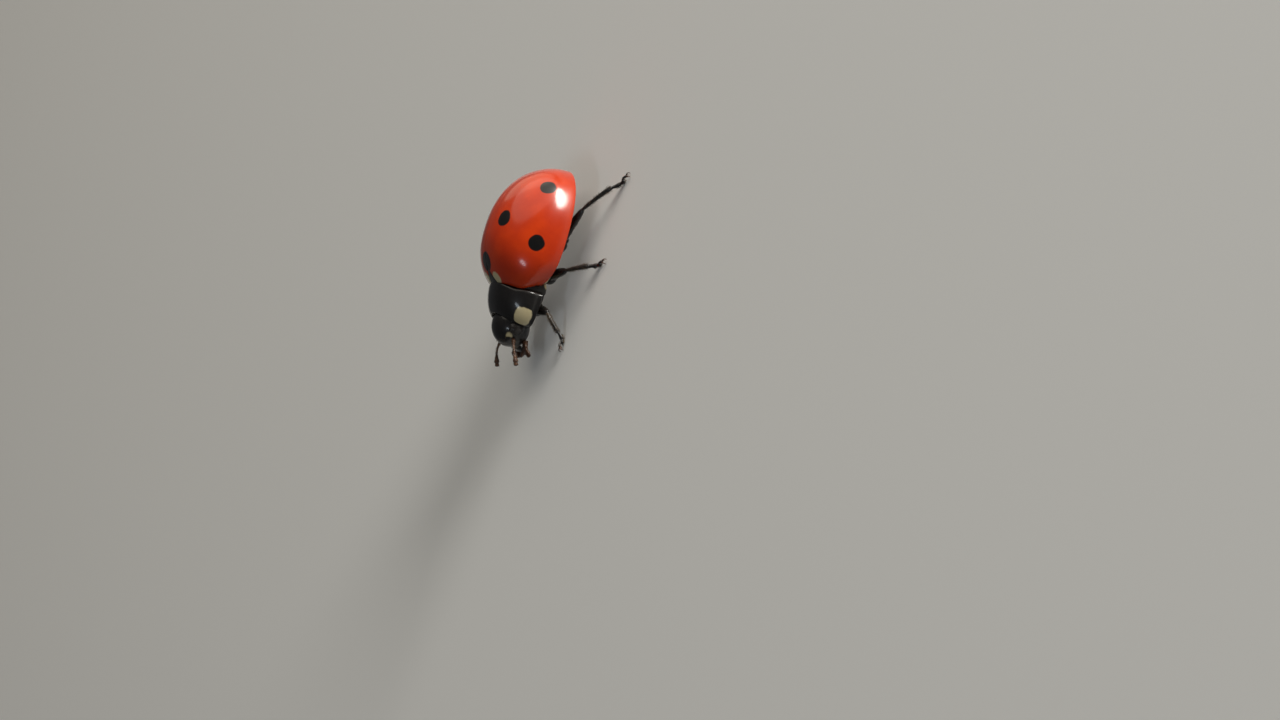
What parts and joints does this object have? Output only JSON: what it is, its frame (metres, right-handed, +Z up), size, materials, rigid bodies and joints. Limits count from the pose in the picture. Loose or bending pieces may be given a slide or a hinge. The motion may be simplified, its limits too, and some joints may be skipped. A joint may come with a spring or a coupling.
{
  "type": "ladybird",
  "caption": "Life-size ladybird, standing still on its feet, with domed red wing cases with black spots, a neck shield, head, eyes, feelers and legs.",
  "frame": {"origin": "on the floor, at the middle of the box of the whole beetle with its legs and feelers", "axes": "+Z up, -Y towards the head, +X towards the beetle's own left side"},
  "size_m": [0.0096, 0.0088, 0.0038],
  "materials": {
    "wing_case_red": "glossy orange-red lacquer with round black spots, finely pitted",
    "shell_black": "glossy black shell, finely pitted, with cream patches on the neck shield and head",
    "belly_black": "dull black underside with fine short hairs",
    "eye_black": "black compound eye with fine facets",
    "feeler_brown": "brown jointed feeler, satin"
  },
  "bodies": {
    "root": {"abdomen": "belly_black", "chest": "belly_black", "eye_left": "eye_black", "eye_right": "eye_black", "feeler_left": "feeler_brown", "feeler_right": "feeler_brown", "front_left_foot": "shell_black", "front_left_shin": "shell_black", "front_left_thigh": "shell_black", "front_right_foot": "shell_black", "front_right_shin": "shell_black", "front_right_thigh": "shell_black", "head": "shell_black", "hind_left_foot": "shell_black", "hind_left_shin": "shell_black", "hind_left_thigh": "shell_black", "hind_right_foot": "shell_black", "hind_right_shin": "shell_black", "hind_right_thigh": "shell_black", "middle_left_foot": "shell_black", "middle_left_shin": "shell_black", "middle_left_thigh": "shell_black", "middle_right_foot": "shell_black", "middle_right_shin": "shell_black", "middle_right_thigh": "shell_black", "mouth_feeler_left": "feeler_brown", "mouth_feeler_right": "feeler_brown", "neck_shield": "shell_black", "scutellum": "shell_black", "wing_case_left": "wing_case_red", "wing_case_right": "wing_case_red"}
  },
  "joints": []
}
